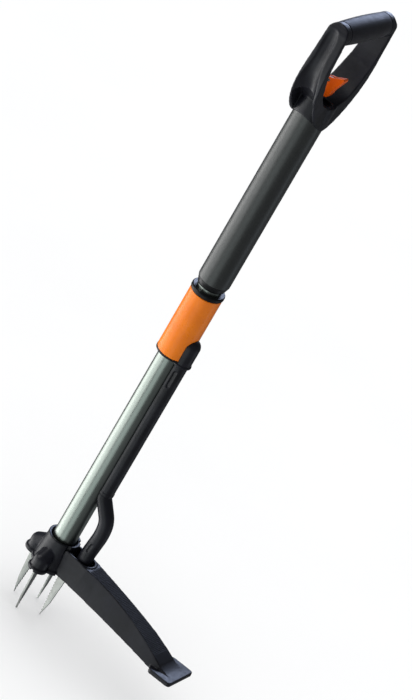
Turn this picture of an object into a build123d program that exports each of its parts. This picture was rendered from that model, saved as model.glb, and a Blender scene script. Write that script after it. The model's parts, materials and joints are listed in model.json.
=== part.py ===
from build123d import *
import math
import os

# Stand up weeder.  Millimetres.  +Z runs up the shaft, +X points from the shaft
# to the foot plate of the pedal, the crossbar of the handle lies along Y.
# The origin is on the shaft axis, just above the claw tips, at the soil.

# ---------------------------------------------------------------- driving sizes
TUBE_R = 17.3            # lower shaft tube, outside
TUBE_WALL = 1.5
TUBE_BOTTOM = 98.0
TUBE_TOP = 818.0
GRIP_R = 22.7            # upper (grip) tube, outside
GRIP_BORE_R = 21.0
GRIP_BOTTOM = 575.5
GRIP_TOP = 864.0
FIT = 0.05               # gap of a running fit on a pin
SLIDE_GAP = 0.2          # gap of a sliding fit on a tube

HEAD_BOTTOM = 70.0
COLLAR_R = 24.0
COLLAR_TOP = 120.0
HEAD_SCREW_Z = 109.0
HEAD_SCREW_R = 1.7
LOBE_OFFSET = 30.0       # shaft axis to lobe axis
LOBE_R = 12.2
LOBE_SHOULDER = 86.0     # centre of the lobe's round shoulder
LOBE_START_X = 8.0       # upper end of the sloping ridge
LOBE_START_Z = 101.5
RIM_HEIGHT = 6.3
RIM_PROUD = 2.4
SKIRT_R = 26.2            # body of the head between the lobes
BRACKET_X = 35.4         # front claw bracket between the fork plates
BRACKET_TOP = 87.0

PIVOT_X = 4.0            # pedal pivot
PIVOT_Z = 88.0
PIVOT_R = 4.0
FORK_INNER = 12.0        # half gap between the fork plates
FORK_OUTER = 15.5        # half width over the fork plates
FORK_LEFT = 17.0
FORK_BOTTOM = 73.0
FORK_TOP = 114.0
FORK_GAP = 0.8           # room between a fork plate and the head
BRACKET_HALF = FORK_INNER - 0.4
POCKET_X = 45.5          # centre of the round end of the fork slot
PLATE_X = 250.0          # toe of the foot plate
PLATE_TILT = 5.0
PLATE_HALF = 30.0
PLATE_THICK = 6.5

ROD_X = 42.0             # lower end of the push rod
ROD_R = 10.7
ROD_RECESS_X = 43.6      # small recess on each side of the lower bend
ROD_RECESS_Z = 139.0
EYE_X = 43.7             # rod end pin
EYE_Z = 95.2
EYE_TOP = 105.0
EYE_PIN_R = 3.0
BAR_X = 19.7             # push bar that hugs the shaft
BAR_R = 10.8
BAR_BOTTOM = 216.0
BAR_BORE = 8.5            # hollow of the push bar, open towards the shaft
BAR_TOP = 452.0

SLEEVE_R = 23.2
SLEEVE_BORE = 19.6
SLEEVE_BOTTOM = 453.5
SLEEVE_TOP = 553.5
RING_TOP = 560.0
COVER_R = 12.6
COVER_TOP = 476.0

CLAW_PIN_R = 2.5
CLAW_PIN_OFFSET = 27.0
CLAW_PIN_Z = 82.0
CLAW_THICK = 2.6
CLAW_TIP = 25.0          # shaft axis to claw tip
CLAW_TIP_Z = -6.0        # the tips reach this far into the soil
CLAW_TEETH = 13
TOOTH_DEPTH = 1.3

BAR_Z = 981.5            # crossbar axis
CROSS_R = 15.4           # crossbar radius at its ends
CROSS_MID_R = 16.6
CROSS_HALF = 63.0
CORNER_R = 13.0          # top corners of the handle
LEAN = 2.0               # the crossbar sits this far in front of the shaft axis
GRIP_HALF = 50.0         # half length of the soft barrel
HANDLE_TIP = 836.5       # bottom of the handle's tongues
HAND_FLOOR = 872.0       # bottom of the hand opening
SOCKET_R = 25.2
SOCKET_BOTTOM = 846.0
HANDLE_SCREW_Z = (846.0, 858.0)

TRIGGER_X = -0.7
TRIGGER_Z = 901.0
TRIGGER_HALF = 5.0
HUB_SLOT_HALF = 7.5
STRIP_X = -19.2
STRIP_BOTTOM = GRIP_BOTTOM + 21.0
STRIP_TOP = 879.5
STRIP_THICK = 1.0
STRIP_HALF_WIDTH = 2.6

os.makedirs("parts", exist_ok=True)


# ---------------------------------------------------------------- small helpers
def disc(radius, z0, z1, x=0.0, y=0.0):
    """Upright cylinder from z0 to z1."""
    return Pos(x, y, (z0 + z1) / 2) * Cylinder(radius, z1 - z0)


def ring(outer, inner, z0, z1, x=0.0, y=0.0):
    """Upright ring from z0 to z1."""
    return disc(outer, z0, z1, x, y) - disc(inner, z0 - 1, z1 + 1, x, y)


def block(x0, x1, y0, y1, z0, z1):
    """Box between two corners."""
    middle = Pos((x0 + x1) / 2, (y0 + y1) / 2, (z0 + z1) / 2)
    return middle * Box(x1 - x0, y1 - y0, z1 - z0)


def axle(radius, half, x, z):
    """Cylinder along Y, centred on Y = 0."""
    return Pos(x, 0, z) * Rot(90, 0, 0) * Cylinder(radius, 2 * half)


def side_prism(outline, half):
    """Outline drawn in X and Z, made thick along Y."""
    face = make_face(outline)
    flat = Plane.XZ * face
    return extrude(flat, half, both=True)


def front_prism(outline, half):
    """Outline drawn in Y and Z, made thick along X."""
    face = make_face(outline)
    flat = Plane.YZ * face
    return extrude(flat, half, both=True)


def around(shape, angle):
    """Shape turned about the shaft."""
    return Rot(0, 0, angle) * shape


def save(shape, name):
    export_step(shape, f"parts/{name}.step")


# ---------------------------------------------------------------- shaft
def lower_tube():
    body = ring(TUBE_R, TUBE_R - TUBE_WALL, TUBE_BOTTOM, TUBE_TOP)
    return body - screw_hole()


def tube_top_bush():
    """Guide and end stop at the top of the lower tube, notched for the strip."""
    body = ring(GRIP_BORE_R - SLIDE_GAP, TUBE_R, TUBE_TOP - 20, TUBE_TOP)
    lip = ring(TUBE_R + 1, TUBE_R - TUBE_WALL - 2, TUBE_TOP, TUBE_TOP + 2)
    notch = block(-25, -TUBE_R + 1, -4.3, 4.3, TUBE_TOP - 30, TUBE_TOP + 5)
    return body + lip - notch


# ---------------------------------------------------------------- head
def screw_hole():
    """Hole for the screw through the back of the collar into the shaft."""
    return Pos(-19.5, 0, HEAD_SCREW_Z) * Rot(0, 90, 0) * Cylinder(HEAD_SCREW_R, 9.4)


def lobe():
    """One rounded ridge of the head, sloping from the collar to the rim, on the +X side."""
    post = disc(LOBE_R, HEAD_BOTTOM, LOBE_SHOULDER, LOBE_OFFSET)
    cap = Pos(LOBE_OFFSET, 0, LOBE_SHOULDER) * Sphere(LOBE_R)
    run = LOBE_OFFSET - LOBE_START_X
    rise = LOBE_START_Z - LOBE_SHOULDER
    tilt = math.degrees(math.atan2(run, rise))
    slope = Rot(0, -tilt, 0) * Cylinder(LOBE_R, math.hypot(run, rise))
    middle = ((LOBE_OFFSET + LOBE_START_X) / 2, 0, (LOBE_SHOULDER + LOBE_START_Z) / 2)
    rim = disc(LOBE_R + RIM_PROUD, HEAD_BOTTOM, HEAD_BOTTOM + RIM_HEIGHT, LOBE_OFFSET)
    rim = fillet(rim.edges(), 1.6)
    return post + cap + Pos(*middle) * slope + rim


def claw_well():
    """Room for one claw and its pin, on the +X side."""
    slot = block(17.6, 36.0, -2.1, 2.1, 60, 91)
    mouth = block(17.6, 60, -2.1, 2.1, 60, HEAD_BOTTOM + 3)
    across = Pos(CLAW_PIN_OFFSET, 0, CLAW_PIN_Z) * Rot(90, 0, 0)
    pin = across * Cylinder(CLAW_PIN_R, 18)
    return slot + mouth + pin


def fork_room():
    """Slots in the head for the ears of the fork."""
    low = block(-7, 70, -FORK_OUTER - FORK_GAP, FORK_OUTER + FORK_GAP, 50, 97.4)
    high = block(FORK_LEFT - FORK_GAP, 70, -FORK_OUTER - FORK_GAP, FORK_OUTER + FORK_GAP, 50, 130)
    keep = block(-10, 80, -BRACKET_HALF, BRACKET_HALF, 40, 140)
    return low + high - keep


def head_housing():
    """Clover shaped head with the collar that takes the shaft."""
    skirt = Cone(SKIRT_R, COLLAR_R, 30)
    body = disc(SKIRT_R, HEAD_BOTTOM, 84) + Pos(0, 0, 99) * skirt
    collar = disc(COLLAR_R, 84, COLLAR_TOP)
    rim = disc(SKIRT_R + RIM_PROUD, HEAD_BOTTOM, HEAD_BOTTOM + RIM_HEIGHT)
    rim = fillet(rim.edges(), 1.6)
    whole = body + collar + rim
    for angle in (90, 180, 270):
        whole += around(lobe(), angle)
    whole += block(0, BRACKET_X, -BRACKET_HALF, BRACKET_HALF, HEAD_BOTTOM, BRACKET_TOP)
    whole -= block(25, 60, -BRACKET_HALF, BRACKET_HALF, BRACKET_TOP, 130)
    whole -= block(BRACKET_X, 80, -60, 60, 60, 130)
    whole -= disc(TUBE_R, TUBE_BOTTOM, COLLAR_TOP + 1)
    whole -= Pos(0, 0, COLLAR_TOP - 2) * Cone(TUBE_R, 21.0, 8)
    whole -= fork_room()
    whole -= block(-6, 15, -7.2, 7.2, 78, TUBE_BOTTOM - 0.6)
    whole -= axle(PIVOT_R, FORK_OUTER + 0.5, PIVOT_X, PIVOT_Z)
    for angle in (0, 90, 180, 270):
        whole -= around(claw_well(), angle)
        whole -= around(block(-4, 18.8, -3.2, 3.2, 60, 79.5), angle)
    whole -= disc(9.6, 60, 79.5)
    whole -= screw_hole()
    recess = Pos(-24.2, 0, HEAD_SCREW_Z) * Rot(0, 90, 0) * Cylinder(3.6, 4.6)
    return whole - recess


def head_screw():
    """Screw that holds the shaft in the collar, at the back."""
    z = HEAD_SCREW_Z
    shank = Pos(-18.6, 0, z) * Rot(0, 90, 0) * Cylinder(HEAD_SCREW_R, 7)
    head = Pos(-23.0, 0, z) * Rot(0, 90, 0) * Cylinder(3.4, 2.2)
    upright = block(-25, -23.3, -0.5, 0.5, z - 2, z + 2)
    level = block(-25, -23.3, -2, 2, z - 0.5, z + 0.5)
    return shank + head - upright - level


def claw():
    """Flat pointed blade on the +X side with teeth on its inner edge."""
    edge_top = Vector(CLAW_PIN_OFFSET - 7.5, HEAD_BOTTOM - 3)
    tip = Vector(CLAW_TIP, CLAW_TIP_Z)
    run = edge_top - tip
    teeth = []
    for i in range(CLAW_TEETH):
        start = tip + run * (0.06 + 0.86 * i / CLAW_TEETH)
        end = tip + run * (0.06 + 0.86 * (i + 1) / CLAW_TEETH)
        teeth.append((start.X, start.Y))
        teeth.append((end.X + TOOTH_DEPTH, end.Y - 0.6))
    points = [(CLAW_PIN_OFFSET + 6.5, CLAW_PIN_Z), (CLAW_PIN_OFFSET + 6.2, HEAD_BOTTOM - 8)]
    points += [(CLAW_PIN_OFFSET + 3.2, 20.0), (tip.X, tip.Y)] + teeth
    points += [(edge_top.X, edge_top.Y), (CLAW_PIN_OFFSET - 6.5, CLAW_PIN_Z)]
    blade = side_prism(Polyline(*points, close=True), CLAW_THICK / 2)
    top = axle(6.5, CLAW_THICK / 2, CLAW_PIN_OFFSET, CLAW_PIN_Z)
    hole = axle(CLAW_PIN_R + FIT, 5, CLAW_PIN_OFFSET, CLAW_PIN_Z)
    return blade + top - hole


def claw_pins():
    pin = axle(CLAW_PIN_R, 8.9, CLAW_PIN_OFFSET, CLAW_PIN_Z)
    return Compound(children=[around(pin, angle) for angle in (0, 90, 180, 270)])


def claw_spreader():
    """Cross shaped plate under the pivot that pushes the claws apart."""
    plate = disc(8.4, 72, 78)
    for angle in (0, 90, 180, 270):
        plate += around(block(0, 17.0, -2.5, 2.5, 72.5, 76.5), angle)
    boss = disc(4, 78, 79)
    return plate + boss


def coil(radius, wire, pitch, turns):
    """Coil spring about Z, from Z = 0 up."""
    line = Helix(pitch, pitch * turns, radius)
    start = Plane(origin=line @ 0, z_dir=line % 0)
    return sweep(start * Circle(wire), path=line, is_frenet=True)


def pedal_spring():
    """Torsion spring round the pedal pivot."""
    turns = 4.0
    pitch = 2.7
    body = coil(5.6, 0.65, pitch, turns)
    placed = Pos(PIVOT_X, pitch * turns / 2, PIVOT_Z) * Rot(90, 0, 0) * body
    return placed


def pedal_pin():
    return axle(PIVOT_R, FORK_OUTER + 0.3, PIVOT_X, PIVOT_Z)


# ---------------------------------------------------------------- pedal
def beam_section(x, bottom, top, half_bottom, half_top):
    """Cross section of the pedal beam at one X."""
    corners = [(-half_bottom, bottom), (half_bottom, bottom), (half_top, top), (-half_top, top)]
    face = make_face(Polyline(*corners, close=True))
    return Plane(origin=(x, 0, 0), x_dir=(0, 1, 0), z_dir=(1, 0, 0)) * face


BEAM = (
    # x, bottom, top, half width at the bottom, half width at the top
    (57.0, 72.6, 113.0, 15.5, 15.5),
    (80.0, 72.0, 111.6, 16.0, 13.2),
    (115.0, 71.2, 107.6, 17.2, 12.4),
    (150.0, 70.0, 101.2, 18.4, 13.4),
    (180.0, 68.6, 93.6, 19.4, 15.6),
    (205.0, 66.9, 85.2, 20.4, 17.0),
    (220.0, 67.6, 79.4, 21.0, 17.6),
)


def tilted(shape):
    """Shape turned about the toe's lower edge, so that the foot plate rises to the toe."""
    return Pos(PLATE_X, 0, HEAD_BOTTOM) * Rot(0, -PLATE_TILT, 0) * Pos(-PLATE_X, 0, -HEAD_BOTTOM) * shape


def foot_plate():
    """Plate at the end of the pedal, wider than the beam and tilted up a little at the toe."""
    outline = Polyline(
        (209, -20.5), (213.5, -PLATE_HALF), (PLATE_X, -PLATE_HALF),
        (PLATE_X, PLATE_HALF), (213.5, PLATE_HALF), (209, 20.5), close=True,
    )
    plate = Pos(0, 0, HEAD_BOTTOM) * extrude(make_face(outline), PLATE_THICK)
    corners = plate.edges().filter_by(Axis.Z).filter_by(lambda e: e.center().X > 212)
    plate = fillet(corners, 5.0)
    return tilted(fillet(plate.faces().sort_by(Axis.Z)[-1].edges(), 1.2))


def swoosh():
    """Hollow curve where the beam's top runs out into the foot plate."""
    low = HEAD_BOTTOM + PLATE_THICK
    side = [Line((219, low - 4), (219, 79.4)), Spline((219, 79.4), (230, 76.6), (243, low - 0.8)),
            Line((243, low - 0.8), (243, low - 4)), Line((243, low - 4), (219, low - 4))]
    return side_prism(side, 17.6)


def pedal_arm():
    """Foot pedal: fork, beam and foot plate in one moulding."""
    ear = axle(9.0, FORK_OUTER, PIVOT_X, PIVOT_Z)
    neck = Polyline(
        (PIVOT_X, PIVOT_Z - 9), (FORK_LEFT, FORK_BOTTOM + 4), (FORK_LEFT + 4, FORK_BOTTOM + 4),
        (FORK_LEFT + 4, PIVOT_Z + 12), (FORK_LEFT, PIVOT_Z + 9), (PIVOT_X, PIVOT_Z + 9), close=True,
    )
    fork = block(FORK_LEFT, POCKET_X, -FORK_OUTER, FORK_OUTER, FORK_BOTTOM, FORK_TOP)
    fork = fillet(fork.edges().filter_by(Axis.Y).group_by(Axis.X)[0], 3.0)
    round_end = disc(FORK_OUTER, FORK_BOTTOM, FORK_TOP, POCKET_X)
    body = ear + side_prism(neck, FORK_OUTER) + fork + round_end
    body += loft([beam_section(*row) for row in BEAM], ruled=True)
    body += block(POCKET_X, 57.5, -FORK_OUTER, FORK_OUTER, 72.6, 113.0)
    slot = block(-20, POCKET_X, -FORK_INNER, FORK_INNER, 50, 130)
    slot += disc(FORK_INNER, 50, 130, POCKET_X)
    body -= slot
    body += foot_plate() + swoosh()
    body -= axle(6.0, 30, PIVOT_X, PIVOT_Z)
    body -= axle(EYE_PIN_R, 14.0, EYE_X, EYE_Z)
    return body - underside()


def underside():
    """Ribbed hollow under the beam."""
    pockets = []
    start = 64.0
    length = 25.0
    rib = 3.0
    for i in range(5):
        x0 = start + i * (length + rib)
        roof = 100.0 - 4.6 * i
        pockets.append(block(x0, x0 + length, -10.5, 10.5, 60, roof))
    return Compound(children=pockets)


def pedal_bushes():
    """Nylon bushes in the two ears."""
    bush = Pos(PIVOT_X, 0, PIVOT_Z) * Rot(90, 0, 0) * Cylinder(6.0, FORK_OUTER - FORK_INNER)
    bore = axle(PIVOT_R + FIT, 30, PIVOT_X, PIVOT_Z)
    middle = (FORK_OUTER + FORK_INNER) / 2
    return Compound(children=[Pos(0, side * middle, 0) * bush - bore for side in (-1, 1)])


def rod_pin():
    return axle(EYE_PIN_R, 13.9, EYE_X, EYE_Z)


# ---------------------------------------------------------------- slide
def shaft_room():
    return disc(TUBE_R + 0.35, 60, 700)


def push_elbow():
    """Bent rod from the push bar out and down into the fork."""
    top_x = BAR_X - 0.7
    path = FilletPolyline(
        (top_x, BAR_BOTTOM), (top_x, 211), (42.0, 183), (45.4, 163), (ROD_X, 125), (ROD_X, EYE_TOP),
        radius=(13, 34, 90, 60),
    )
    line = Plane.XZ * path
    start = Plane(origin=(top_x, 0, BAR_BOTTOM), z_dir=(0, 0, -1))
    body = sweep(start * Circle(ROD_R), path=line)
    spigot = disc(BAR_BORE, BAR_BOTTOM, BAR_BOTTOM + 22, top_x)
    body = body + spigot - shaft_room()
    for side in (-1, 1):
        mouth = Pos(ROD_RECESS_X, side * (ROD_R + 0.4), ROD_RECESS_Z) * Rot(0, 6, 0) * Rot(90, 0, 0)
        body -= mouth * extrude(SlotOverall(15, 3.6, rotation=90), 2.0, both=True)
    return body


def rod_eye():
    """Flat tongue with a hole, plugged into the lower end of the elbow."""
    tongue = block(ROD_X - 5.0, ROD_X + 7.0, -5, 5, EYE_Z, EYE_TOP)
    tongue += axle(6.0, 5, ROD_X + 1.0, EYE_Z)
    cap = disc(ROD_R - 0.4, EYE_TOP - 2, EYE_TOP, ROD_X)
    return tongue + cap - axle(EYE_PIN_R + 1.0, 20, EYE_X, EYE_Z)


def bar_slot(side):
    """Long recess near the top of the push bar."""
    z0 = 410.0
    z1 = 438.0
    mouth = Pos(BAR_X + 3, side * (BAR_R - 0.4), (z0 + z1) / 2)
    return mouth * Rot(90, 0, 0) * extrude(SlotOverall(z1 - z0, 5.0, rotation=90), 1.4, both=True)


def push_bar():
    """Long rounded bar that hugs the shaft and carries the sleeve's push."""
    body = disc(BAR_R, BAR_BOTTOM, BAR_TOP, BAR_X)
    lip = disc(BAR_R + 0.6, BAR_BOTTOM, BAR_BOTTOM + 5, BAR_X)
    body += fillet(lip.edges(), 0.5)
    body -= disc(BAR_BORE, BAR_BOTTOM - 1, BAR_TOP - 4, BAR_X - 0.7)
    for side in (-1, 1):
        body -= bar_slot(side)
    return body - shaft_room()


def thumb_cover(grow=0.0):
    """Rounded cover over the top of the push bar, on the sleeve's front."""
    body = disc(COVER_R + grow, SLEEVE_BOTTOM - 6.5, COVER_TOP, BAR_X)
    body += Pos(BAR_X, 0, COVER_TOP) * Sphere(COVER_R + grow)
    flare = disc(COVER_R + 1.2 + grow, SLEEVE_BOTTOM - 7.5, SLEEVE_BOTTOM - 3.5, BAR_X)
    return body + fillet(flare.edges(), 1.2)


def ejector_sleeve():
    body = ring(SLEEVE_R, SLEEVE_BORE, SLEEVE_BOTTOM, SLEEVE_TOP)
    return body - thumb_cover(0.05)


def sleeve_bush():
    """Nylon liner that runs on the shaft."""
    body = ring(SLEEVE_BORE, TUBE_R + SLIDE_GAP, SLEEVE_BOTTOM + 2, RING_TOP - 1)
    return body - block(5, 40, -COVER_R - 0.3, COVER_R + 0.3, 400, COVER_TOP + COVER_R)


def sleeve_top_ring():
    body = ring(SLEEVE_R + 0.8, SLEEVE_BORE, SLEEVE_TOP, RING_TOP - 1)
    body += ring(SLEEVE_R + 0.8, TUBE_R + SLIDE_GAP, RING_TOP - 1, RING_TOP)
    return fillet(body.edges().filter_by(GeomType.CIRCLE).group_by(SortBy.RADIUS)[-1], 1.8)


def sleeve_bottom_ring():
    body = ring(SLEEVE_R + 0.3, TUBE_R + SLIDE_GAP, SLEEVE_BOTTOM - 3, SLEEVE_BOTTOM)
    return body - thumb_cover(0.05)


def cover_piece():
    """The thumb cover as made: hollow over the bar, clear of the shaft."""
    body = thumb_cover() - disc(BAR_R, 400, BAR_TOP, BAR_X)
    return body - disc(TUBE_R + 0.35, 400, 520)


# ---------------------------------------------------------------- upper shaft
def grip_tube():
    body = ring(GRIP_R, GRIP_BORE_R, GRIP_BOTTOM, GRIP_TOP)
    for z in HANDLE_SCREW_Z:
        body -= handle_screw_hole(z)
    return body


def grip_end_bush():
    """Tapered end of the grip tube; slides on the shaft and holds the lock shoe."""
    nose = Pos(0, 0, GRIP_BOTTOM - 5) * Cone(19.4, GRIP_R, 10)
    body = nose + disc(GRIP_BORE_R, GRIP_BOTTOM, GRIP_BOTTOM + 26)
    body -= disc(TUBE_R + SLIDE_GAP, 500, 700)
    return body - block(-25, -10, -4.6, 4.6, GRIP_BOTTOM + 4, GRIP_BOTTOM + 40)


def lock_shoe():
    """Brake shoe that grips the shaft until the trigger is pulled."""
    top = GRIP_BOTTOM + 17
    body = block(-19.8, -14, -4.2, 4.2, GRIP_BOTTOM + 5, top)
    wedge = Polyline((-21, top - 4), (-21, top + 1), (-18.4, top + 1), close=True)
    return body - side_prism(wedge, 10) - disc(TUBE_R + 0.12, 500, 700)


def release_strip():
    """Thin strip from the trigger down to the lock shoe, with a wide head."""
    half = STRIP_THICK / 2
    bend = 832.0
    head_x = -9.5
    outline = Polyline(
        (STRIP_X - half, STRIP_BOTTOM), (STRIP_X + half, STRIP_BOTTOM), (STRIP_X + half, bend),
        (head_x + half, 857), (head_x + half, STRIP_TOP - 2), (head_x - half, STRIP_TOP - 2),
        (head_x - half, 857.6), (STRIP_X - half, bend + 0.6), close=True,
    )
    head = block(head_x - 1.3, head_x + 1.3, -6.6, 6.6, STRIP_TOP - 3, STRIP_TOP)
    return side_prism(outline, STRIP_HALF_WIDTH) + head


# ---------------------------------------------------------------- handle
def handle_outline():
    """Outer edge of the handle in Y and Z."""
    side = [(0, HANDLE_TIP), (23, 849), (42.5, 869), (54.5, 889), (60.8, 910), (63, 934), (CROSS_HALF, 962)]
    right = Spline(*side, tangents=((1, 0.25), (0.0, 1)))
    top_z = BAR_Z + CROSS_R
    inner = CROSS_HALF - CORNER_R
    edge = Line((CROSS_HALF, 962), (CROSS_HALF, top_z - CORNER_R))
    arc = RadiusArc((CROSS_HALF, top_z - CORNER_R), (inner, top_z), -CORNER_R)
    roof = Line((inner, top_z), (-inner, top_z))
    return [right, edge, arc, roof, mirror(arc, Plane.YZ), mirror(edge, Plane.YZ), mirror(right, Plane.YZ)]


def lean(z):
    """How far the handle leans towards +X at height z."""
    return LEAN * max(0.0, z - HAND_FLOOR) / (BAR_Z - HAND_FLOOR)


def handle_depth():
    """Front to back profile of the handle in X and Z."""
    rows = [(24.7, HANDLE_TIP - 1), (22.6, 856), (20.4, 880), (18.2, 915), (16.4, 950), (CROSS_R, BAR_Z)]
    front = Spline(*[(lean(z) + x, z) for x, z in rows], tangents=((-0.1, 1), (-0.02, 1)))
    back = Spline(*[(lean(z) - x, z) for x, z in rows], tangents=((0.1, 1), (0.06, 1)))
    arc = ThreePointArc((LEAN + CROSS_R, BAR_Z), (LEAN, BAR_Z + CROSS_R), (LEAN - CROSS_R, BAR_Z))
    floor = Line((-24.7, HANDLE_TIP - 1), (24.7, HANDLE_TIP - 1))
    return [front, arc, back, floor]


def hand_opening():
    """Opening for the hand, drawn in Y and Z."""
    side = [(0, HAND_FLOOR), (16, 874), (32, 884), (43, 900), (50.5, 918), (55.5, 940)]
    right = Spline(*side, tangents=((1, 0), (0.1, 1)))
    up = Line((55.5, 940), (57.5, BAR_Z))
    roof = Line((57.5, BAR_Z), (-57.5, BAR_Z))
    return [right, up, roof, mirror(up, Plane.YZ), mirror(right, Plane.YZ)]


TROUGH = (
    # z, centre Y, depth radius, width radius of the hollow on the arm's outside
    (880.0, 63.0, 24.5, 18.2),
    (900.0, 66.0, 18.0, 17.2),
    (920.0, 72.2, 15.9, 15.8),
    (945.0, 75.0, 15.2, 14.4),
    (BAR_Z, 75.6, 14.6, 13.0),
)


def trough():
    """Hollow along the outside of the +Y arm and its round top end."""
    rows = [Pos(lean(z), y, z) * Ellipse(wide, deep) for z, y, deep, wide in TROUGH]
    z, y, deep, wide = TROUGH[-1]
    half = Ellipse(wide, deep) - Pos(-wide, 0) * Rectangle(2 * wide, 4 * deep)
    return loft(rows), Pos(LEAN, y, z) * revolve(half, Axis.Y)


def arch():
    """Open space between the tongues beside the tube, on the +Y side."""
    beside = Polyline((10, 820), (10, 860), (44, 894), (90, 894), (90, 820), close=True)
    door = [Line((-17.6, 820), (-17.6, 878)), ThreePointArc((-17.6, 878), (0, 893), (17.6, 878)),
            Line((17.6, 878), (17.6, 820)), Line((17.6, 820), (-17.6, 820))]
    room = front_prism(beside, 40) & side_prism(door, 95)
    return room - disc(SOCKET_R, SOCKET_BOTTOM, 900)


def trigger_post():
    """Post in the middle of the hub that carries the trigger's pin."""
    post = block(-5.4, 4.0, -2.0, 2.0, 864, TRIGGER_Z)
    return post + axle(4.7, 2.0, TRIGGER_X, TRIGGER_Z)


def handle_screw_hole(z):
    return Pos(-22.6, 0, z) * Rot(0, 90, 0) * Cylinder(1.6, 6)


def handle_frame():
    """D-handle: two arms, crossbar core, hub with trigger slot and tube socket."""
    body = front_prism(handle_outline(), 40) & side_prism(handle_depth(), 80)
    body += disc(24.7, HANDLE_TIP, HAND_FLOOR) & front_prism(handle_outline(), 40)
    body -= front_prism(hand_opening(), 60)
    body += axle(CROSS_R, 60, LEAN, BAR_Z)
    body -= axle(30, GRIP_HALF, LEAN, BAR_Z) - axle(11.0, 60, LEAN, BAR_Z) - block(-60, 60, -60, 60, 900, 962)
    for turn in (0, 180):
        for hollow in trough():
            body -= around(hollow, turn)
        body -= around(arch(), turn)
    body -= disc(GRIP_R, 800, GRIP_TOP)
    body -= block(-14.5, 17.0, -HUB_SLOT_HALF, HUB_SLOT_HALF, 867, 905)
    body -= block(-13, -4, -4.2, 4.2, 850, 880)
    body += trigger_post()
    for z in HANDLE_SCREW_Z:
        body -= handle_screw_hole(z)
    return body - axle(2.0, 12, TRIGGER_X, TRIGGER_Z)


def crossbar_grip():
    """Soft barrel on the crossbar."""
    half = GRIP_HALF - 0.05
    rise = ThreePointArc((CROSS_R, -half), (CROSS_MID_R, 0), (CROSS_R, half))
    profile = [Line((11.05, -half), (CROSS_R, -half)), rise,
               Line((CROSS_R, half), (11.05, half)), Line((11.05, half), (11.05, -half))]
    return Pos(LEAN, 0, BAR_Z) * revolve(make_face(profile), Axis.Y)


def trigger():
    """Rocking release lever that straddles the post in the hand opening."""
    outline = Polyline(
        (-11.5, 880.5), (-11.5, 884), (-8, 892), (-7.2, 902), (-4, 905), (4, 907.5), (17.5, 915), (19.5, 912.5),
        (11.5, 892), (10.5, 886), (8, 880), (3, 878.5), close=True,
    )
    body = side_prism(outline, TRIGGER_HALF)
    body = fillet(body.edges().filter_by(Axis.Y), 0.9)
    body -= block(-30, 5.6, -2.4, 2.4, 870, 920)
    return body - axle(2.0 + FIT, 20, TRIGGER_X, TRIGGER_Z)


def trigger_pin():
    return axle(2.0, TRIGGER_HALF + 0.3, TRIGGER_X, TRIGGER_Z)


def release_springs():
    """Two small coil springs under the head of the release strip."""
    turns = 5
    free = STRIP_TOP - 3.6 - 867.3
    one = coil(1.5, 0.3, free / turns, turns)
    return Compound(children=[Pos(-9.5, side * 5.3, 867.3) * one for side in (-1, 1)])


def handle_screws():
    """Two screws through the back tongue into the grip tube."""
    shanks = []
    for z in HANDLE_SCREW_Z:
        shanks.append(Pos(-22.6, 0, z) * Rot(0, 90, 0) * Cylinder(1.6, 3.9))
    return Compound(children=shanks)


# ---------------------------------------------------------------- write the nodes
save(lower_tube(), "lower_tube")
save(tube_top_bush(), "tube_top_bush")
save(head_housing(), "head_housing")
save(head_screw(), "head_screw")
save(claw_pins(), "claw_pins")
save(pedal_pin(), "pedal_pin")
save(pedal_spring(), "pedal_spring")
save(pedal_arm(), "pedal_arm")
save(pedal_bushes(), "pedal_bushes")
save(rod_pin(), "rod_pin")
for side_name, turn in (("front", 0), ("right", 90), ("back", 180), ("left", 270)):
    save(around(claw(), turn), f"claw_{side_name}")
save(claw_spreader(), "claw_spreader")
save(ejector_sleeve(), "ejector_sleeve")
save(sleeve_bush(), "sleeve_bush")
save(sleeve_top_ring(), "sleeve_top_ring")
save(sleeve_bottom_ring(), "sleeve_bottom_ring")
save(cover_piece(), "thumb_cover")
save(push_bar(), "push_bar")
save(push_elbow(), "push_elbow")
save(rod_eye(), "rod_eye")
save(grip_tube(), "grip_tube")
save(grip_end_bush(), "grip_end_bush")
save(lock_shoe(), "lock_shoe")
save(release_strip(), "release_strip")
save(handle_frame(), "handle_frame")
save(crossbar_grip(), "crossbar_grip")
save(trigger(), "trigger")
save(trigger_pin(), "trigger_pin")
save(handle_screws(), "handle_screws")
save(release_springs(), "release_springs")
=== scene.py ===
import json
import math
import bpy
import bmesh
from mathutils import Matrix, Vector


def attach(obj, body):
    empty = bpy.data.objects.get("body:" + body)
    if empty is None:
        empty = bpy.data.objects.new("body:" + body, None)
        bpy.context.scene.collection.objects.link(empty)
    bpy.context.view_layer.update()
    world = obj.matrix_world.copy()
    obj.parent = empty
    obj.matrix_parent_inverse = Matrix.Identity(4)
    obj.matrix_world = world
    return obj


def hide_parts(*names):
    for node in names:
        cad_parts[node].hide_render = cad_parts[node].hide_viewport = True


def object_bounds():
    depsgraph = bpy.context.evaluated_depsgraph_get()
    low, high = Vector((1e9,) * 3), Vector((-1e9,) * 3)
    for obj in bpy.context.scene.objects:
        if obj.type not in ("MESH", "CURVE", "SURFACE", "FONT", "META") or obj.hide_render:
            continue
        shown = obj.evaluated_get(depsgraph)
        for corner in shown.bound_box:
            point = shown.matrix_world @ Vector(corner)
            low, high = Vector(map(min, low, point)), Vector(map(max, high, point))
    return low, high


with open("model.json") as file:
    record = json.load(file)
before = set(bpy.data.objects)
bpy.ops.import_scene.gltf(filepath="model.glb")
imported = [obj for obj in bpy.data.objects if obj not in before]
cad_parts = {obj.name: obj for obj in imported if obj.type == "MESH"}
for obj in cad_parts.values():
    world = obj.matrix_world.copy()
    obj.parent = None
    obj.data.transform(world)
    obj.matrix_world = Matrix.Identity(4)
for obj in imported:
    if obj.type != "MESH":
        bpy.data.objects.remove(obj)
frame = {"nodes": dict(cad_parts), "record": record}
cad_low, cad_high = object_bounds()
nodes = frame["nodes"]
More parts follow.
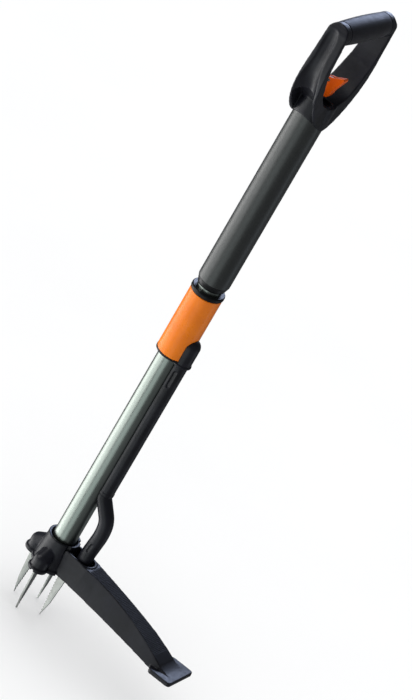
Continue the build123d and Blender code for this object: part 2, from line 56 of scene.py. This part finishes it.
body_of_node = {}
for body_name, members in frame["record"]["behaviour"]["bodies"].items():
    for member in members:
        body_of_node[member] = body_name
slot_of_node = {s["node"]: s["material_slot"] for s in frame["record"]["subparts"]}

# x range of the pedal's tread ridges and of the painted shade on its upward faces
TREAD_AND_SHADE_START = (0.062, 0.066)
TREAD_AND_SHADE_END = (0.203, 0.207)
TREAD_WAVE = 2.0 * math.pi / 0.0045


# ---------------------------------------------------------------- shader helpers
class Graph:
    """Builds one procedural material, node by node."""

    def __init__(self, name):
        self.material = bpy.data.materials.new(name)
        self.material.use_nodes = True
        self.tree = self.material.node_tree
        self.shader = self.tree.nodes["Principled BSDF"]
        self.place = self.add("ShaderNodeTexCoord").outputs["Object"]

    def add(self, kind):
        return self.tree.nodes.new(kind)

    def link(self, output, socket):
        self.tree.links.new(output, socket)

    def fixed(self, **values):
        for name, value in values.items():
            self.shader.inputs[name.replace("_", " ")].default_value = value

    def scaled(self, scale):
        node = self.add("ShaderNodeMapping")
        node.inputs["Scale"].default_value = scale
        self.link(self.place, node.inputs["Vector"])
        return node.outputs["Vector"]

    def noise(self, scale, detail=4.0, rough=0.55, stretch=(1, 1, 1), twist=0.0):
        node = self.add("ShaderNodeTexNoise")
        node.inputs["Scale"].default_value = scale
        node.inputs["Detail"].default_value = detail
        node.inputs["Roughness"].default_value = rough
        node.inputs["Distortion"].default_value = twist
        self.link(self.scaled(stretch), node.inputs["Vector"])
        return node.outputs["Fac"]

    def cells(self, scale):
        node = self.add("ShaderNodeTexVoronoi")
        node.feature = "SMOOTH_F1"
        node.inputs["Scale"].default_value = scale
        self.link(self.place, node.inputs["Vector"])
        return node.outputs["Distance"]

    def ramp(self, value, stops):
        node = self.add("ShaderNodeValToRGB")
        ramp = node.color_ramp
        while len(ramp.elements) < len(stops):
            ramp.elements.new(0.5)
        for element, (at, colour) in zip(ramp.elements, stops):
            element.position = at
            element.color = (*colour, 1.0) if isinstance(colour, tuple) else (colour, colour, colour, 1.0)
        self.link(value, node.inputs["Fac"])
        return node.outputs["Color"]

    def span(self, value, low, high, to_low, to_high):
        node = self.add("ShaderNodeMapRange")
        node.inputs["From Min"].default_value = low
        node.inputs["From Max"].default_value = high
        node.inputs["To Min"].default_value = to_low
        node.inputs["To Max"].default_value = to_high
        self.link(value, node.inputs["Value"])
        return node.outputs["Result"]

    def math(self, kind, a, b):
        node = self.add("ShaderNodeMath")
        node.operation = kind
        for socket, value in zip(node.inputs, (a, b)):
            if isinstance(value, (int, float)):
                socket.default_value = value
            else:
                self.link(value, socket)
        return node.outputs["Value"]

    def mix(self, share, a, b):
        node = self.add("ShaderNodeMix")
        node.data_type = "RGBA"
        for name, value in (("Factor_Float", share), ("A_Color", a), ("B_Color", b)):
            socket = next(i for i in node.inputs if i.identifier == name)
            if isinstance(value, (int, float)):
                socket.default_value = value
            elif isinstance(value, tuple):
                socket.default_value = (*value, 1.0)
            else:
                self.link(value, socket)
        return next(o for o in node.outputs if o.identifier == "Result_Color")

    def edges(self, low=0.52, high=0.62):
        """White on worn outer edges, broken up by noise."""
        geometry = self.add("ShaderNodeNewGeometry")
        sharp = self.span(geometry.outputs["Pointiness"], low, high, 0.0, 1.0)
        return self.math("MULTIPLY", sharp, self.span(self.noise(60.0), 0.42, 0.62, 0.0, 1.0))

    def tread_and_painted_shade(self):
        """Crossed ridges on the upward faces of the foot pedal's beam, and where they are; the same area
        also gets painted shade.
        """
        place = self.add("ShaderNodeSeparateXYZ")
        self.link(self.place, place.inputs["Vector"])
        facing = self.add("ShaderNodeSeparateXYZ")
        self.link(self.add("ShaderNodeTexCoord").outputs["Normal"], facing.inputs["Vector"])
        x, y = place.outputs["X"], place.outputs["Y"]
        starts = self.span(x, *TREAD_AND_SHADE_START, 0.0, 1.0)
        ends = self.span(x, *TREAD_AND_SHADE_END, 1.0, 0.0)
        upward = self.span(facing.outputs["Z"], 0.55, 0.70, 0.0, 1.0)
        tread_and_shade_area = self.math("MULTIPLY", upward, self.math("MULTIPLY", starts, ends))
        one = self.math("SINE", self.math("MULTIPLY", self.math("ADD", x, y), TREAD_WAVE), 0.0)
        two = self.math("SINE", self.math("MULTIPLY", self.math("SUBTRACT", x, y), TREAD_WAVE), 0.0)
        return self.math("MULTIPLY", self.math("MULTIPLY", one, two), tread_and_shade_area), tread_and_shade_area

    def bump(self, layers):
        """layers: (height, distance in metres, strength), coarse first."""
        normal = None
        for height, distance, strength in layers:
            node = self.add("ShaderNodeBump")
            node.inputs["Distance"].default_value = distance
            node.inputs["Strength"].default_value = strength
            self.link(height, node.inputs["Height"])
            if normal:
                self.link(normal, node.inputs["Normal"])
            normal = node.outputs["Normal"]
        self.link(normal, self.shader.inputs["Normal"])

    def paint(self, colour, rough):
        self.link(colour, self.shader.inputs["Base Color"])
        self.link(rough, self.shader.inputs["Roughness"])
        return self.material


def moulded(name, dark, light, rough, grain=0.5, scuff=(0.12, 0.12, 0.13), specular=0.5, tread_and_painted_shade=False):
    """Injection moulded plastic: eroded grain, soft mottling, scuffs and pale worn edges; with the tread,
    the pedal's upward faces are also darkened as painted shade, as if less lit.
    """
    g = Graph(name)
    g.fixed(Specular_IOR_Level=specular)
    mottle = g.ramp(g.noise(34.0, 6.0, 0.6), [(0.35, dark), (0.68, light)])
    marks = g.ramp(g.noise(14.0, 9.0, 0.72, (9.0, 2.0, 1.0), 0.6), [(0.60, 0.0), (0.72, 1.0)])
    colour = g.mix(g.math("MULTIPLY", marks, 0.16), mottle, scuff)
    colour = g.mix(g.math("MULTIPLY", g.edges(), 0.35), colour, scuff)
    dust = g.span(g.noise(210.0, 3.0), 0.35, 0.7, -0.035, 0.05)
    finish = g.math("ADD", g.span(g.noise(22.0, 5.0), 0.3, 0.7, rough - 0.05, rough + 0.07), dust)
    finish = g.math("SUBTRACT", finish, g.math("MULTIPLY", marks, 0.05))
    layers = [(g.noise(45.0, 2.0), 0.0002, 0.25), (g.cells(1500.0), 0.00006, grain),
              (g.noise(2600.0, 2.0), 0.00003, grain)]
    if tread_and_painted_shade:
        ridges, tread_and_shade_area = g.tread_and_painted_shade()
        layers.insert(1, (ridges, 0.0005, 0.8))
        # painted shade: the upward faces in the tread area are darkened, as if the top were less lit
        colour = g.mix(g.math("MULTIPLY", tread_and_shade_area, 0.55), colour, tuple(v * 0.4 for v in dark))
        finish = g.math("ADD", finish, g.math("MULTIPLY", tread_and_shade_area, 0.16))
    g.bump(layers)
    return g.paint(colour, finish)


def soft_grip():
    """Rubbery barrel with a fine pebbled skin."""
    g = Graph("soft_grip")
    g.fixed(Sheen_Weight=0.05, Sheen_Roughness=0.5, Specular_IOR_Level=0.25)
    colour = g.ramp(g.noise(40.0, 6.0), [(0.3, (0.006, 0.0063, 0.011)), (0.7, (0.012, 0.0125, 0.020))])
    worn = g.ramp(g.noise(11.0, 8.0, 0.7), [(0.55, 0.0), (0.72, 1.0)])
    colour = g.mix(g.math("MULTIPLY", worn, 0.2), colour, (0.03, 0.03, 0.036))
    finish = g.math("SUBTRACT", g.span(g.noise(90.0), 0.3, 0.7, 0.42, 0.52), g.math("MULTIPLY", worn, 0.07))
    g.bump([(g.cells(900.0), 0.0001, 0.5), (g.noise(1800.0, 2.0), 0.00004, 0.5)])
    return g.paint(colour, finish)


def anodised():
    """Drawn aluminium tube: fine lines along Z, rub marks round it from the sliding sleeve."""
    g = Graph("anodised_tube")
    g.fixed(Metallic=1.0)
    lines = g.noise(1.0, 5.0, 0.6, (1400.0, 1400.0, 9.0))
    cloud = g.noise(9.0, 5.0, 0.6, (1.0, 1.0, 0.4))
    colour = g.ramp(cloud, [(0.3, (0.27, 0.305, 0.28)), (0.7, (0.36, 0.395, 0.365))])
    colour = g.mix(g.math("MULTIPLY", g.span(lines, 0.35, 0.65, 0.0, 1.0), 0.2), colour, (0.46, 0.49, 0.46))
    rubs = g.ramp(g.noise(1.0, 8.0, 0.7, (420.0, 420.0, 26.0), 0.4), [(0.63, 0.0), (0.70, 1.0)])
    colour = g.mix(g.math("MULTIPLY", rubs, 0.22), colour, (0.17, 0.19, 0.175))
    finish = g.math("ADD", g.span(lines, 0.3, 0.7, 0.26, 0.36), g.span(cloud, 0.3, 0.7, -0.03, 0.05))
    finish = g.math("ADD", finish, g.math("MULTIPLY", rubs, 0.08))
    g.bump([(cloud, 0.0002, 0.1), (lines, 0.00003, 0.35), (rubs, 0.00003, 0.3)])
    return g.paint(colour, finish)


def painted_tube():
    """Satin black coated tube with orange peel and faint lengthwise scuffs."""
    g = Graph("painted_tube")
    g.fixed(Specular_IOR_Level=0.95)
    cloud = g.noise(12.0, 6.0, 0.6, (1.0, 1.0, 0.35))
    colour = g.ramp(cloud, [(0.3, (0.0085, 0.0108, 0.0105)), (0.7, (0.015, 0.0185, 0.0178))])
    scuffs = g.ramp(g.noise(1.0, 8.0, 0.7, (300.0, 300.0, 14.0), 0.3), [(0.62, 0.0), (0.72, 1.0)])
    colour = g.mix(g.math("MULTIPLY", scuffs, 0.2), colour, (0.06, 0.066, 0.064))
    finish = g.math("ADD", g.span(g.noise(150.0), 0.3, 0.7, 0.34, 0.42), g.math("MULTIPLY", scuffs, 0.06))
    g.bump([(g.noise(420.0, 2.0), 0.00008, 0.22), (g.noise(1500.0, 2.0), 0.00003, 0.3)])
    return g.paint(colour, finish)


def ground_steel(name, along, tint, rough):
    """Ground or plated steel with grinding lines, stains and bright edges."""
    g = Graph(name)
    g.fixed(Metallic=1.0, Anisotropic=0.35)
    lines = g.noise(1.0, 6.0, 0.65, along)
    stain = g.ramp(g.noise(70.0, 8.0, 0.7), [(0.5, 0.0), (0.72, 1.0)])
    colour = g.ramp(lines, [(0.3, tuple(v * 0.82 for v in tint)), (0.7, tint)])
    colour = g.mix(g.math("MULTIPLY", stain, 0.30), colour, tuple(v * 0.45 for v in tint))
    colour = g.mix(g.math("MULTIPLY", g.edges(), 0.5), colour, (0.85, 0.85, 0.83))
    finish = g.span(lines, 0.3, 0.7, rough - 0.06, rough + 0.08)
    finish = g.math("ADD", finish, g.math("MULTIPLY", stain, 0.15))
    g.bump([(g.noise(300.0, 3.0), 0.00005, 0.15), (lines, 0.00003, 0.5)])
    return g.paint(colour, finish)


def floor_paint():
    """Matt pale paint with a faint mottle."""
    g = Graph("studio_floor")
    g.fixed(Specular_IOR_Level=0.1)
    colour = g.ramp(g.noise(2.0, 3.0), [(0.3, (0.93, 0.93, 0.93)), (0.7, (0.95, 0.95, 0.95))])
    return g.paint(colour, g.span(g.noise(8.0), 0.3, 0.7, 0.7, 0.8))


# dark, light, roughness, grain, scuff colour, specular level
BLACK = ((0.0055, 0.0058, 0.0090), (0.0115, 0.012, 0.019), 0.37, 0.4, (0.035, 0.035, 0.045), 0.34)
MATERIALS = {
    "anodised_tube": anodised(),
    "painted_tube": painted_tube(),
    "black_plastic": moulded("black_plastic", *BLACK),
    "black_trim": moulded("black_trim", (0.004, 0.004, 0.005), (0.008, 0.008, 0.010), 0.33, 0.2,
                          (0.035, 0.035, 0.035), 0.25),
    "nylon": moulded("nylon", (0.010, 0.010, 0.010), (0.018, 0.018, 0.017), 0.42, 0.25, (0.06, 0.06, 0.06)),
    "soft_grip": soft_grip(),
    "orange_plastic": moulded("orange_plastic", (0.76, 0.165, 0.0), (0.86, 0.205, 0.0), 0.30, 0.15,
                              (0.90, 0.36, 0.05), 0.30),
    "trigger_plastic": moulded("trigger_plastic", (0.70, 0.085, 0.0), (0.82, 0.12, 0.0), 0.30, 0.15,
                               (0.9, 0.32, 0.08), 0.32),
    "claw_steel": ground_steel("claw_steel", (60.0, 60.0, 900.0), (0.42, 0.43, 0.41), 0.32),
    "pin_steel": ground_steel("pin_steel", (500.0, 500.0, 500.0), (0.66, 0.66, 0.65), 0.24),
}


# the pedal's beam: tread ridges plus painted shade darkening its upward faces
OWN_MATERIALS = {"pedal_arm": moulded("black_plastic_tread_painted_shade", *BLACK, tread_and_painted_shade=True)}


# ---------------------------------------------------------------- geometry helpers
def dress(piece, node):
    """Paints a piece like its CAD node and lets it move with the node's body."""
    piece.data.materials.clear()
    piece.data.materials.append(OWN_MATERIALS.get(node) or MATERIALS[slot_of_node[node]])
    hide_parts(node)
    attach(piece, body_of_node[node])
    return piece


def welded_copy(node, name):
    """A copy of a CAD node's mesh with its seams joined."""
    source = nodes[node]
    mesh = bpy.data.meshes.new(name)
    work = bmesh.new()
    work.from_mesh(source.data)
    bmesh.ops.remove_doubles(work, verts=work.verts, dist=1e-6)
    work.to_mesh(mesh)
    work.free()
    piece = bpy.data.objects.new(name, mesh)
    bpy.context.scene.collection.objects.link(piece)
    return piece


def settle_modifiers(piece):
    """Turns a piece's modifiers into plain mesh."""
    depsgraph = bpy.context.evaluated_depsgraph_get()
    mesh = bpy.data.meshes.new_from_object(piece.evaluated_get(depsgraph))
    piece.modifiers.clear()
    piece.data = mesh


def shade(piece, angle):
    """Smooth shading, with edges sharper than the angle kept sharp when one is given."""
    piece.data.polygons.foreach_set("use_smooth", [True] * len(piece.data.polygons))
    if angle:
        piece.data.set_sharp_from_angle(angle=math.radians(angle))


def moulded_piece(node, voxel, rounds):
    """Soft edged copy of a node: remeshed finely and relaxed, so that every edge is rounded."""
    piece = welded_copy(node, "soft_" + node)
    remesh = piece.modifiers.new("even", "REMESH")
    remesh.mode = "VOXEL"
    remesh.voxel_size = voxel
    remesh.adaptivity = 0.0
    relax = piece.modifiers.new("relax", "SMOOTH")
    relax.factor = 0.5
    relax.iterations = rounds
    settle_modifiers(piece)
    shade(piece, 0)
    return dress(piece, node)


def crisp_piece(node, bevel):
    """Sharp copy of a node with small bevels on its corners."""
    piece = welded_copy(node, "crisp_" + node)
    tool = piece.modifiers.new("bevel", "BEVEL")
    tool.width = bevel
    tool.segments = 2
    tool.limit_method = "ANGLE"
    tool.angle_limit = math.radians(SHARP_ANGLE)
    tool.harden_normals = True
    tool.use_clamp_overlap = True
    shade(piece, SHARP_ANGLE)
    return dress(piece, node)


# ---------------------------------------------------------------- the pieces
SHARP_ANGLE = 38
SPRING_ANGLE = 60
SOFT = {
    # node: voxel size in metres, rounds of relaxing
    "handle_frame": (0.0008, 6),
    "pedal_arm": (0.0008, 4),
    "head_housing": (0.0007, 5),
    "crossbar_grip": (0.0008, 4),
    "trigger": (0.0005, 5),
    "thumb_cover": (0.0006, 4),
    "ejector_sleeve": (0.0007, 3),
    "push_bar": (0.0007, 3),
    "push_elbow": (0.0007, 3),
    "rod_eye": (0.0006, 3),
}
CRISP = {
    # node: bevel width in metres
    "lower_tube": 0.0003, "grip_tube": 0.0004, "tube_top_bush": 0.0003, "grip_end_bush": 0.0004,
    "sleeve_top_ring": 0.0004, "sleeve_bottom_ring": 0.0004, "sleeve_bush": 0.0003,
    "claw_front": 0.00015, "claw_right": 0.00015, "claw_back": 0.00015, "claw_left": 0.00015,
    "claw_spreader": 0.0003, "claw_pins": 0.0003, "pedal_pin": 0.0003, "rod_pin": 0.0003,
    "pedal_bushes": 0.0002, "head_screw": 0.0002, "handle_screws": 0.0002, "trigger_pin": 0.0002,
    "lock_shoe": 0.0003, "release_strip": 0.0002,
}
for node, (voxel, rounds) in SOFT.items():
    moulded_piece(node, voxel, rounds)
for node, bevel in CRISP.items():
    crisp_piece(node, bevel)
for node in ("pedal_spring", "release_springs"):
    piece = welded_copy(node, "wound_" + node)
    shade(piece, SPRING_ANGLE)
    dress(piece, node)


# ---------------------------------------------------------------- studio
CAMERA_AZIMUTH = 21.4
CAMERA_ELEVATION = 28.5
CAMERA_ROLL = 30.45
CAMERA_SHIFT_RIGHT = 0.0231
CAMERA_SHIFT_DOWN = 0.0344
CAMERA_DISTANCE = 4.363
LENS_MM = 171.5143
MIDDLE = Vector((0.0, 0.0, 0.5))


def camera_at_photo_angle():
    """Camera a good four metres off, rolled so that the tool leans to the right."""
    azimuth, roll = math.radians(CAMERA_AZIMUTH), math.radians(CAMERA_ROLL)
    elevation = math.radians(CAMERA_ELEVATION)
    level = Vector((-math.sin(azimuth), math.cos(azimuth), 0.0))
    forward = level * math.cos(elevation) - Vector((0.0, 0.0, math.sin(elevation)))
    side = Vector((math.cos(azimuth), math.sin(azimuth), 0.0))
    over = side.cross(forward)
    right = side * math.cos(roll) + over * math.sin(roll)
    up = over * math.cos(roll) - side * math.sin(roll)
    place = MIDDLE + CAMERA_SHIFT_RIGHT * right - CAMERA_SHIFT_DOWN * up - CAMERA_DISTANCE * forward
    data = bpy.data.cameras.new("photo_camera")
    data.sensor_fit = "VERTICAL"
    data.sensor_height = 36.0
    data.lens = LENS_MM
    data.clip_end = 100.0
    camera = bpy.data.objects.new("photo_camera", data)
    bpy.context.scene.collection.objects.link(camera)
    turn = Matrix((right, up, -forward)).transposed().to_4x4()
    camera.matrix_world = Matrix.Translation(place) @ turn
    bpy.context.scene.camera = camera


FLOOR_WASH = 2.95
FLOOR_SHADOW_SPREAD = 2.6
FLOOR_GAP = 0.0005
WORLD_STRENGTH = 0.14
SOFTBOX_DISTANCE = 2.5
SOFTBOXES = (
    # name, azimuth, elevation, width, height, watts, tint; the low ones are what upright tubes mirror
    ("side_low", -170.0, -28.5, 1.5, 2.4, 34.0, (1.0, 1.0, 0.99)),
    ("left_low", -130.0, -28.5, 1.5, 2.4, 21.0, (0.97, 1.0, 0.99)),
    ("front_low", -80.0, -28.5, 1.5, 2.2, 9.0, (0.86, 0.96, 0.95)),
    ("right_low", 28.0, -28.5, 0.35, 2.2, 2.2, (0.80, 0.90, 1.0)),
    ("back_high", 111.0, 28.5, 1.3, 0.9, 30.0, (0.62, 0.72, 1.0)),
    ("left_high", -140.0, 30.0, 0.6, 2.0, 26.0, (1.0, 1.0, 1.0)),
)


def softbox(name, azimuth, elevation, width, height, watts, tint):
    """Rectangular lamp facing the middle of the tool; a negative elevation puts it under the floor."""
    data = bpy.data.lights.new(name, "AREA")
    data.shape = "RECTANGLE"
    data.size, data.size_y = width, height
    data.energy = watts
    data.color = tint
    lamp = bpy.data.objects.new(name, data)
    bpy.context.scene.collection.objects.link(lamp)
    turn, rise = math.radians(azimuth), math.radians(elevation)
    away = Vector((math.cos(turn) * math.cos(rise), math.sin(turn) * math.cos(rise), math.sin(rise)))
    place = MIDDLE + away * SOFTBOX_DISTANCE
    lamp.matrix_world = Matrix.Translation(place) @ away.to_track_quat("Z", "Y").to_matrix().to_4x4()
    return lamp


def floor_only(floor):
    """Even light that only the floor receives, so that it stays pale behind a dark tool."""
    receivers = bpy.data.collections.new("floor_only")
    receivers.objects.link(floor)
    data = bpy.data.lights.new("floor_wash", "SUN")
    data.energy = FLOOR_WASH
    data.angle = FLOOR_SHADOW_SPREAD
    lamp = bpy.data.objects.new("floor_wash", data)
    bpy.context.scene.collection.objects.link(lamp)
    lamp.light_linking.receiver_collection = receivers


def all_but_floor(floor):
    """Everything except the floor, which neither takes the softboxes' light nor stops it."""
    others = bpy.data.collections.new("all_but_floor")
    others.objects.link(floor)
    others.collection_objects[0].light_linking.link_state = "EXCLUDE"
    return others


def studio():
    """Pale floor, which the tool does not mirror, and softboxes for the tool alone."""
    world = bpy.data.worlds.new("studio")
    world.use_nodes = True
    back = world.node_tree.nodes["Background"]
    back.inputs["Color"].default_value = (0.93, 0.96, 1.0, 1.0)
    back.inputs["Strength"].default_value = WORLD_STRENGTH
    bpy.context.scene.world = world
    bpy.ops.mesh.primitive_plane_add(size=60.0, location=(0.0, 0.0, cad_low[2] - FLOOR_GAP))
    floor = bpy.context.object
    floor.name = "floor"
    floor.data.materials.append(floor_paint())
    floor.visible_glossy = False
    floor_only(floor)
    others = all_but_floor(floor)
    for name, azimuth, elevation, width, height, watts, tint in SOFTBOXES:
        lamp = softbox(name, azimuth, elevation, width, height, watts, tint)
        lamp.light_linking.receiver_collection = others
        lamp.light_linking.blocker_collection = others
    bpy.context.scene.view_settings.view_transform = "Standard"
    bpy.context.scene.view_settings.look = "None"


camera_at_photo_angle()
studio()
